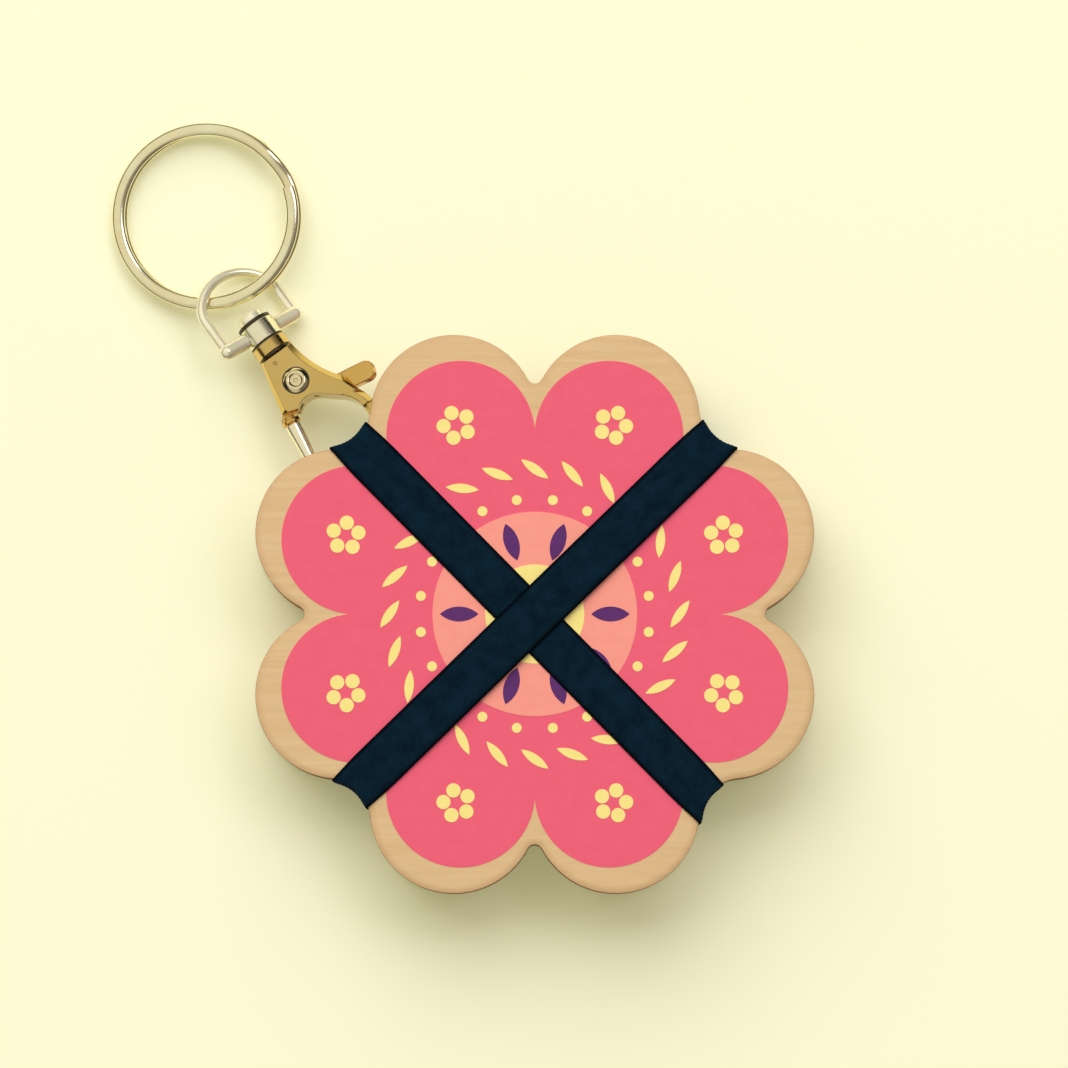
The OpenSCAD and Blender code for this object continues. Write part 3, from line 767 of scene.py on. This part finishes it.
# %% [markdown]
# ## Stitches
# Each lap is held by rows of thread. Every stitch is a short slim bead that sinks into the
# elastic at both ends. The rows are drawn as lines, and the tree strings the beads on them.

# %% Stitched laps
SPACING, STITCH, THREAD_R, STITCH_Z = 1.4, 1.1, 0.11, 0.11
ROWS_IN, ROWS_ASIDE = (1.2, 2.6), 1.1


def thread():
    material, shader, place = finish("navy_thread", (22, 44, 60), 0.6, specular=0.4)
    sockets = {"Vector": place, "Scale": 2600.0, "Distortion": 1.0}
    twist = node("TexWave", sockets, bands_direction="DIAGONAL").outputs["Fac"]
    link(mix(twist, (16, 36, 50), (38, 66, 84)), shader)
    bump(shader, twist, 0.4, 0.00004)
    return material


def stitch_tree():
    tree, given = new_tree("stitch_rows", Spacing=SPACING * MM, Length=STITCH * MM, Thread=THREAD_R * MM)
    lines = node("GeometryNodeMeshToCurve", {0: given["Geometry"]}).outputs[0]
    sockets = {"Curve": lines, "Length": given["Spacing"]}
    points = node("GeometryNodeCurveToPoints", sockets, mode="LENGTH").outputs
    bead = node("GeometryNodeMeshUVSphere", {"Segments": 8, "Rings": 6, "Radius": 1.0}, tree).outputs[0]
    size = join(given["Thread"], given["Thread"], times(given["Length"], 0.5))
    sockets = {"Points": points["Points"], "Instance": bead, "Rotation": points["Rotation"], "Scale": size}
    end_tree(node("GeometryNodeInstanceOnPoints", sockets).outputs[0], thread())
    return tree


def lap_rows(lane):
    """Two rows across each end of the lap and a crossed box between them, as lines."""
    side, (outer, inner) = STRAP_W / 2 - ROWS_ASIDE, ROWS_IN
    ends = [LAP_START + outer, LAP_START + inner, LAP_END - inner, LAP_END - outer]
    rows = [((x, -side), (x, side)) for x in ends]
    for from_y, to_y in ((-side, side), (side, -side), (-side, -side), (side, side)):
        rows.append(((ends[1], from_y), (ends[2], to_y)))
    points = [Vector(in_lane(lane, -x, y, STITCH_Z)) * MM for row in rows for x, y in row]
    mesh = bpy.data.meshes.new("rows")
    mesh.from_pydata(points, [(2 * k, 2 * k + 1) for k in range(len(rows))], [])
    return mesh


STITCH_TREE = stitch_tree()
for name, lane in (("inner_lap_stitches", INNER_LANE), ("outer_lap_stitches", OUTER_LANE)):
    stitches = grow(name, STITCH_TREE, lap_rows(lane))
    stitches.data.shade_smooth()
    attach(stitches, "base")

# %% [markdown]
# ## Plated metal
# The clasp's body is cast zinc under gold plate. The loop, the post, the rivet and the ring
# have paler plates and the spring is plain steel. The dark plate is painted shade: it covers
# thin rings set in the gaps between the metals, for those gaps' shadow. All are polished, but
# never quite even: their tone and roughness drift. A clear coat and a small rounding at each
# edge catch the light.

# %% Gold finishes
COAT = {"Coat Weight": 0.6, "Coat Roughness": 0.12}


def plated(name, roughness, edge, metallic=1.0):
    """A polished plate, with its drift as patches from 0 to 1."""
    material, shader, place = finish(name, (220, 190, 120), roughness, metallic, **COAT)
    drift = noise(place, 180, 2)
    link(spread(drift, 0.3, 0.7, roughness * 0.9, roughness * 1.15), shader, "Roughness")
    rounded = node("Bevel", {"Radius": edge * MM}, shader, samples=6)
    link(rounded.outputs[0], shader, "Normal")
    return material, shader, place, spread(drift, 0.3, 0.7)


def plate(name, tones, roughness, edge, metallic=1.0):
    material, shader, _, patches = plated(name, roughness, edge, metallic)
    link(mix(patches, *tones), shader)
    return material


GOLD_TONES = (222, 187, 105), (228, 193, 112)
# Pale plate of the loop and the post's head; on the gate rod the same tones are painted highlight.
PALE_PLATE_AND_HIGHLIGHT_TONES = (252, 241, 200), (255, 249, 214)
GOLD = plate("gold_plate", GOLD_TONES, 0.12, 0.3)
PALE_GOLD = plate("pale_gold_plate", ((251, 235, 184), (255, 249, 206)), 0.14, 0.12, 0.94)
RIVET = plate("rivet_plate", ((244, 222, 170), (252, 236, 188)), 0.1, 0.08)
STEEL = plate("spring_steel", ((160, 160, 164), (190, 190, 192)), 0.3, 0.03)
# Painted shade: a near-black plate for the rings that stand for the shadow in the gaps.
PAINTED_SHADE = plate("painted_shade_dark", ((44, 36, 22), (70, 58, 34)), 0.4, 0.05, 0.6)
repaint(GOLD, "clasp_body")
print("metal:", GOLD.name, PALE_GOLD.name, STEEL.name, PAINTED_SHADE.name)

# %% [markdown]
# ## Places on the clasp
# The clasp hangs at a slant in a frame of its own: x along it towards the strap, z out of
# its face, and the rivet at the centre. A matrix takes a place there to the whole press.

# %% The clasp's frame
RIVET_AT, CLASP_HEADING, CLASP_TILT = (-38.47, 37.74, 6.916), math.radians(-53.9), math.radians(10)
CLASP = (Matrix.Translation(RIVET_AT) @ Matrix.Rotation(CLASP_HEADING, 4, "Z")
         @ Matrix.Rotation(-CLASP_TILT, 4, "Y"))
CLASP_T, GATE_BASE, GATE_HEADING = 4.6, (4, -4.4, 0), math.radians(-8.8)
print("rivet at", tuple(round(c, 2) for c in CLASP.translation))

# %% [markdown]
# ## Lever and post
# Lever, gate and thumb tab are one casting. Its gate rod is painted brighter from its collar
# on: painted highlight, for the bright reflections along the round rod.
# The swivel's post is the other way round: its head in the loop is bright and its neck is
# gold like the body. Each change is measured along a heading of the clasp, and the loop's
# hub by its distance from the swivel's axis.

# %% Lever and post finishes
ROD_HIGHLIGHT_FROM, NECK_FROM, CHANGE_LENGTH = 1.25, -8.5, 0.15
HUB_R, HUB_END, SATIN, MIRROR = (3.15, 3.4), (-12.6, -12.5), 0.55, 0.96
LEVER_TONES = (230, 184, 94), (236, 190, 102)


def two_tone(name, roughness, edge, start, heading, first, second, metallic):
    """Plate that changes from the first tones and metallic to the second ones beyond start."""
    material, shader, place, patches = plated(name, roughness, edge)
    way = CLASP.to_3x3() @ towards(heading)
    low = (CLASP @ Vector(start)).dot(way)
    along = vector_maths("DOT_PRODUCT", place, tuple(way), "Value")
    reach = (low * MM, (low + CHANGE_LENGTH) * MM)
    near, far = (mix(patches, *tones) for tones in (first, second))
    link(mix(spread(along, *reach), near, far), shader)
    link(spread(along, *reach, *metallic), shader, "Metallic")
    return material


def loop_plate():
    """The loop's satin wire; its turned hub mirrors more, and so has darker sides."""
    material, shader, place, patches = plated("bright_plate", 0.17, 0.15)
    axis = tuple(CLASP.to_3x3() @ Vector((1, 0, 0)))
    offset = vector_maths("SUBTRACT", place, tuple(CLASP.translation * MM))
    along = vector_maths("DOT_PRODUCT", offset, axis, "Value")
    away = vector_maths("LENGTH", vector_maths("CROSS_PRODUCT", offset, axis), result="Value")
    beside = spread(away, *(radius * MM for radius in HUB_R))
    beyond = spread(along, *(end * MM for end in HUB_END), 1, 0)
    outside = maths("MAXIMUM", beside, beyond)
    link(mix(patches, *PALE_PLATE_AND_HIGHLIGHT_TONES), shader)
    link(spread(outside, 0, 1, MIRROR, SATIN), shader, "Metallic")
    return material


# From the collar on, the rod gets the pale tones as painted highlight.
COLLAR = Vector(GATE_BASE) + towards(GATE_HEADING, ROD_HIGHLIGHT_FROM)
LEVER = two_tone("lever_plate", 0.14, 0.3, COLLAR, GATE_HEADING, LEVER_TONES, PALE_PLATE_AND_HIGHLIGHT_TONES, (1.0, 0.8))
POST = two_tone("post_plate", 0.17, 0.15, (NECK_FROM, 0, 0), 0, PALE_PLATE_AND_HIGHLIGHT_TONES, GOLD_TONES, (SATIN, 1.0))
repaint(LEVER, "gate_lever")
repaint(POST, "swivel_post")
repaint(loop_plate(), "d_loop")
print("metal:", LEVER.name, POST.name)

# %% [markdown]
# ## The thumb tab
# The casting's tab swells from the thin lever to a pad that a thumb finds easily. Its outline
# is drawn in a little above and below for soft edges, its thickness follows the length, and
# quads across it close it.

# %% Thumb pad
TAB_FROM, TAB_HEADING, TAB_LEN, TAB_HALF = (4.35, 5.65, 0), math.radians(79.6), 6.12, 1.61
TAB_RAMP, TAB_THIN, TAB_THICK = (0.7, 2.05), 0.76, 1.17
TAB_LEVELS = [(0.2, -1), (0.07, -0.96), (0, -0.86), (0, 0.86), (0.07, 0.96), (0.2, 1)]


def thumb_pad(straight=16, round_steps=14):
    place = CLASP @ Matrix.Translation(TAB_FROM) @ Matrix.Rotation(TAB_HEADING, 4, "Z")
    centre = TAB_LEN - TAB_HALF
    vertices = []
    for inset, level in TAB_LEVELS:
        half = TAB_HALF - inset
        side = [(TAB_RAMP[0] + (centre - TAB_RAMP[0]) * k / straight, half) for k in range(straight)]
        for k in range(round_steps):
            angle = math.pi / 2 * (1 - k / (round_steps - 0.5))
            side.append((centre + half * math.cos(angle), half * math.sin(angle)))
        for x, y in side + [(x, -y) for x, y in reversed(side)]:
            share = min(1, (x - TAB_RAMP[0]) / (TAB_RAMP[1] - TAB_RAMP[0]))
            thick = TAB_THIN + (TAB_THICK - TAB_THIN) * share * share * (3 - 2 * share)
            vertices.append(place @ Vector((x, y, level * thick)))
    around = 2 * (straight + round_steps)
    faces = bridge(len(TAB_LEVELS), around, closed_ends=False)
    for first in (0, (len(TAB_LEVELS) - 1) * around):
        faces += [(first + k, first + k + 1, first + around - 2 - k, first + around - 1 - k)
                  for k in range(around // 2 - 1)]
    pad = make_mesh("thumb_pad", vertices, faces, LEVER, 30)
    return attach(pad, "gate")


print("pad:", len(thumb_pad().data.vertices), "vertices")

# %% [markdown]
# ## The torsion spring
# A fine spring in a pocket of the lever's hub keeps the gate shut. Its first leg braces on
# the lever and its tail on the body. The coils between them take up the turn.

# %% Wind the spring
SPRING_R, WIRE_R, TURNS, COIL_PITCH = 1.45, 0.14, 2.25, 0.32
FIRST_LEG, TAIL, TAIL_BEND, POCKET_Z = 0.7, 2.14, 0.2, -0.06


def torsion_spring(steps=32, sides=10):
    turns = [k / steps for k in range(round(TURNS * steps) + 1)]
    coils = [towards(math.tau * turn, SPRING_R, COIL_PITCH * turn) for turn in turns]
    path = [(SPRING_R, -FIRST_LEG, 0)] + coils + [(-TAIL, SPRING_R - TAIL_BEND, COIL_PITCH * TURNS)]
    path = [Vector(point) + Vector((0, 0, POCKET_Z)) for point in path]
    vertices = []
    for k, point in enumerate(path):
        along = path[min(k + 1, len(path) - 1)] - path[max(k - 1, 0)]
        side = along.cross(Vector((0, 0, 1))).normalized()
        above = side.cross(along).normalized()
        for j in range(sides):
            angle = math.tau * j / sides
            vertices.append(CLASP @ (point + WIRE_R * (math.cos(angle) * side + math.sin(angle) * above)))
    spring = make_mesh("torsion_spring", vertices, bridge(len(path), sides), STEEL, 60)
    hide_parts("gate_spring")
    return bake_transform(spring)


print("spring:", len(torsion_spring().data.vertices), "vertices")

# %% [markdown]
# ## Turned pieces
# The rivet and the little pip that the casting mould leaves are turned: one outline, carried
# round an axis. The rivet's slanting rim mirrors the dark horizon, which draws the dark ring
# round it.

# %% Rivet and pip
RIVET_R, HEAD_R, HEAD_H = 1.0, 2.05, 0.51
HEAD = [(HEAD_R, -HEAD_H), (HEAD_R, -0.42), (1.62, -0.06), (1.5, 0), (1.24, 0), (1.12, -0.05), (0.9, -0.22),
        (0.36, -0.2), (0.24, -0.3), (0, -0.32)]
PIP_AT = (-4.33, -1.1, CLASP_T / 2)
PIP = [(0, -0.2), (0.34, -0.2), (0.34, 0), (0.28, 0.09), (0.15, 0.14), (0, 0.15)]


def turned(name, outline, at, material, slot, steps=64):
    """Turns (radius, height) points, from one end of the axis to the other, into a piece."""
    place = CLASP @ Matrix.Translation(at)
    inner = [point for point in outline if point[0] > 0]
    vertices = [place @ towards(math.tau * j / steps, r, h) for r, h in inner for j in range(steps)]
    faces = bridge(len(inner), steps, closed_ends=False)
    for tip, first in ((outline[0], 0), (outline[-1], len(vertices) - steps)):
        vertices.append(place @ Vector((0, 0, tip[1])))
        faces += [(len(vertices) - 1, first + j, first + (j + 1) % steps) for j in range(steps)]
    piece = make_mesh(name, vertices, faces, material, 30)
    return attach(piece, "clasp")


top_half = [(RIVET_R, 0), (RIVET_R, CLASP_T / 2)] + [(r, CLASP_T / 2 + HEAD_H + h) for r, h in HEAD]
shape = [(r, -h) for r, h in reversed(top_half[1:])] + top_half
rivet = turned("turned_rivet", shape, (0, 0, 0), RIVET, "pale_gold_plate")
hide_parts("clasp_rivet")
turned("casting_pip", PIP, PIP_AT, GOLD, "gold_plate", 24)
print("rivet:", len(rivet.data.vertices), "vertices")

# %% [markdown]
# ## Dark rings of painted shade
# Thin dark rings are painted shade: they sit in the gaps between the metals and stand for the
# shadow there. One is under the post's head, two at the swivel's neck and one under the
# rivet's head. Each is four rings of points, and the last joins the first.

# %% Rings of painted shade
ALONG, UPRIGHT = Matrix.Rotation(math.pi / 2, 4, "Y"), Matrix.Identity(4)
# Each ring is painted shade, set where the metals part and shadow falls in the gap.
SHADE_RINGS = {
    "head_shade_ring": (-12.38, -12.0, 1.3, 2.96, "loop"),
    "inner_shade_ring": (-8.46, -8.14, 1.25, 2.95, "clasp"),
    "outer_shade_ring": (-6.16, -5.88, 2.34, 2.8, "clasp"),
    "rivet_shade_ring": (CLASP_T / 2 - 0.05, CLASP_T / 2 + 0.12, 1.8, 2.24, "clasp", UPRIGHT),
}


def shade_ring(name, low, high, bore, radius, body, axis=ALONG, steps=64):
    """A flat dark ring of painted shade, from low to high along the swivel's axis, or along another one."""
    edges = [(bore, low), (radius, low), (radius, high), (bore, high)]
    vertices = [CLASP @ axis @ towards(math.tau * j / steps, r, h) for r, h in edges for j in range(steps)]
    faces = [tuple(v % len(vertices) for v in face) for face in bridge(5, steps, closed_ends=False)]
    piece = make_mesh(name, vertices, faces, PAINTED_SHADE, 30)
    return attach(piece, body)


for name, sizes in SHADE_RINGS.items():
    shade_ring(name, *sizes)
print("washers:", len(SHADE_RINGS))

# %% [markdown]
# ## The split ring
# A split ring is one flat wire wound twice, with soft corners. Its two ends lie beside the
# short step where the wire climbs from the lower turn to the upper. Two turns are never
# quite concentric, so the lower one shows as a thin line beside the upper.

# %% Wind the ring
RING_OUT, RING_W, RING_T, RING_GAP = 15.28, 2.1, 1.2, 0.06
RING_HANG, RING_HEADING = (-46.72, 53.69), math.radians(120.8)
RING_RISE, RING_ROLL, FLOOR_GAP = 2.13, math.radians(3), 0.04
STEP_AT, STEP_HALF, END_GAP, END_SIZE, STRAY = math.radians(88), 13, 1.5, 0.88, 0.3


def ring_place():
    """Where the ring lies: one side on the floor, the other up in the loop."""
    lift_angle = math.asin(RING_RISE / (2 * RING_OUT))
    level = math.cos(lift_angle) * math.cos(RING_ROLL)
    z = FLOOR_GAP + RING_OUT * math.sqrt(1 - level**2) + (RING_T + RING_GAP / 2) * level
    place = Matrix.Translation(Vector((*RING_HANG, z)) + towards(RING_HEADING, RING_OUT - RING_W))
    turns = ((CLASP_HEADING, "Z"), (RING_ROLL, "X"), (-lift_angle, "Y"), (STEP_AT, "Z"))
    for angle, axis in turns:
        place @= Matrix.Rotation(angle, 4, axis)
    return place


def squarer(value, squareness=2.1):
    """Draws a circle's coordinate outwards, which gives the wire its soft corners."""
    return math.copysign(abs(value) ** (2 / squareness), value)


def wind_ring(name, rings=232, points=28):
    place, vertices = ring_place(), []
    start, stop = STEP_HALF + END_GAP, 720 - STEP_HALF - END_GAP
    stray = towards(-STEP_AT - CLASP_HEADING, STRAY)
    for k in range(rings):
        angle = start + (stop - start) * k / (rings - 1)
        share = min(1, max(0, (angle - 360 + STEP_HALF) / (2 * STEP_HALF)))
        climbed = share * share * (3 - 2 * share)
        middle = (RING_T + RING_GAP) * (climbed - 0.5)
        size = END_SIZE if k in (0, rings - 1) else 1
        for j in range(points):
            c, d = (squarer(f(math.tau * j / points)) for f in (math.cos, math.sin))
            radius = RING_OUT - RING_W / 2 + RING_W / 2 * c * size
            at = towards(math.radians(angle), radius, middle + RING_T / 2 * d * size)
            vertices.append(place @ (at + stray * (1 - climbed)))
    ring = make_mesh(name, vertices, bridge(rings, points), PALE_GOLD, 50)
    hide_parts("split_ring")
    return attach(ring, "ring")


split_ring = wind_ring("wound_split_ring")
print("ring:", len(split_ring.data.vertices), "vertices")

# %% [markdown]
# ## Floor
# The floor is the photograph's pale cream, lit by the lamps. To the camera and in mirrors a
# fifth of it is a yellower glow instead, which keeps it even and softens the shadow.

# %% Floor
FLOOR_COLOUR, GLOW_COLOUR = linear((255, 252, 219)), linear((255, 250, 180))
GLOW, GLOW_SHARE, FLOOR_HALF, FLOOR_Z = 1.17, 0.2, 2, -0.00005
corners = [(x * FLOOR_HALF, y * FLOOR_HALF, FLOOR_Z) for x, y in ((-1, -1), (1, -1), (1, 1), (-1, 1))]
floor_mesh = bpy.data.meshes.new("floor")
floor_mesh.from_pydata(corners, [], [(0, 1, 2, 3)])
floor = new_object("floor", floor_mesh)
floor_paint = bpy.data.materials.new("cream_floor")
floor_paint.use_nodes = True
tree = floor_paint.node_tree
tree.nodes.clear()
lit = node("BsdfDiffuse", {"Color": FLOOR_COLOUR}, tree).outputs[0]
glow = node("Emission", {"Color": GLOW_COLOUR, "Strength": GLOW}, tree).outputs[0]
rays = node("LightPath", near=tree).outputs
seen = maths("MAXIMUM", rays["Is Camera Ray"], rays["Is Glossy Ray"])
share = times(seen, GLOW_SHARE)
both = node("MixShader", {0: share, 1: lit, 2: glow}).outputs[0]
node("OutputMaterial", {"Surface": both})
floor_mesh.materials.append(floor_paint)
print("floor:", floor_paint.name)

# %% [markdown]
# ## Lamps and sky
# One broad lamp stands above the top of the picture, so the shadow falls towards the bottom.
# Metal doesn't mirror it: a smaller cool lamp gives its highlights. The sky gives soft light
# from all sides, but metal mirrors another picture: a dark horizon below a bright ceiling,
# and curtains that dim the east and, less, the south.

# %% Lamps and sky
LAMPS_AIM, SKY_COLOUR, SOFT_LEVEL = Vector((0, 0, 0.01)), (1.0, 0.975, 0.87, 1), 0.28
HORIZON = (0.34, 0.48, 0.02, 0.74)
EAST_CURTAIN, SOUTH_CURTAIN = (0.02, 0.36, 1.0, 0.24), (-0.6, -0.15, 0.75, 1.0)


def lamp(name, place, size, watts, colour, mirrored=True):
    """A square lamp that looks at the press."""
    light = bpy.data.lights.new(name, "AREA")
    light.shape, light.size, light.energy, light.color = "SQUARE", size, watts, colour
    thing = new_object(name, light)
    thing.location = place
    thing.visible_glossy = mirrored
    thing.rotation_euler = (Vector(place) - LAMPS_AIM).to_track_quat("Z", "Y").to_euler()


lamp("key", place=(-0.55, 1.98, 2.14), size=3.1, watts=96.6, colour=(0.99, 1.0, 1.05), mirrored=False)
lamp("window", place=(1.0, 0.8, 2.0), size=1.0, watts=7.5, colour=(0.94, 0.9, 1.14))
world = bpy.data.worlds.new("studio")
world.use_nodes = True
sky = world.node_tree
east, north, up = split(node("TexCoord", near=sky).outputs["Generated"])
curtain = times(spread(east, *EAST_CURTAIN), spread(north, *SOUTH_CURTAIN))
pattern = times(spread(up, *HORIZON), curtain)
mirrored = node("LightPath", near=sky).outputs["Is Glossy Ray"]
strength = node("Mix", {0: mirrored, 2: SOFT_LEVEL, 3: pattern}).outputs[0]
backdrop = sky.nodes["Background"]
backdrop.inputs["Color"].default_value = SKY_COLOUR
link(strength, backdrop, "Strength")
bpy.context.scene.world = world
print("lamps:", sorted(light.name for light in bpy.data.lights))
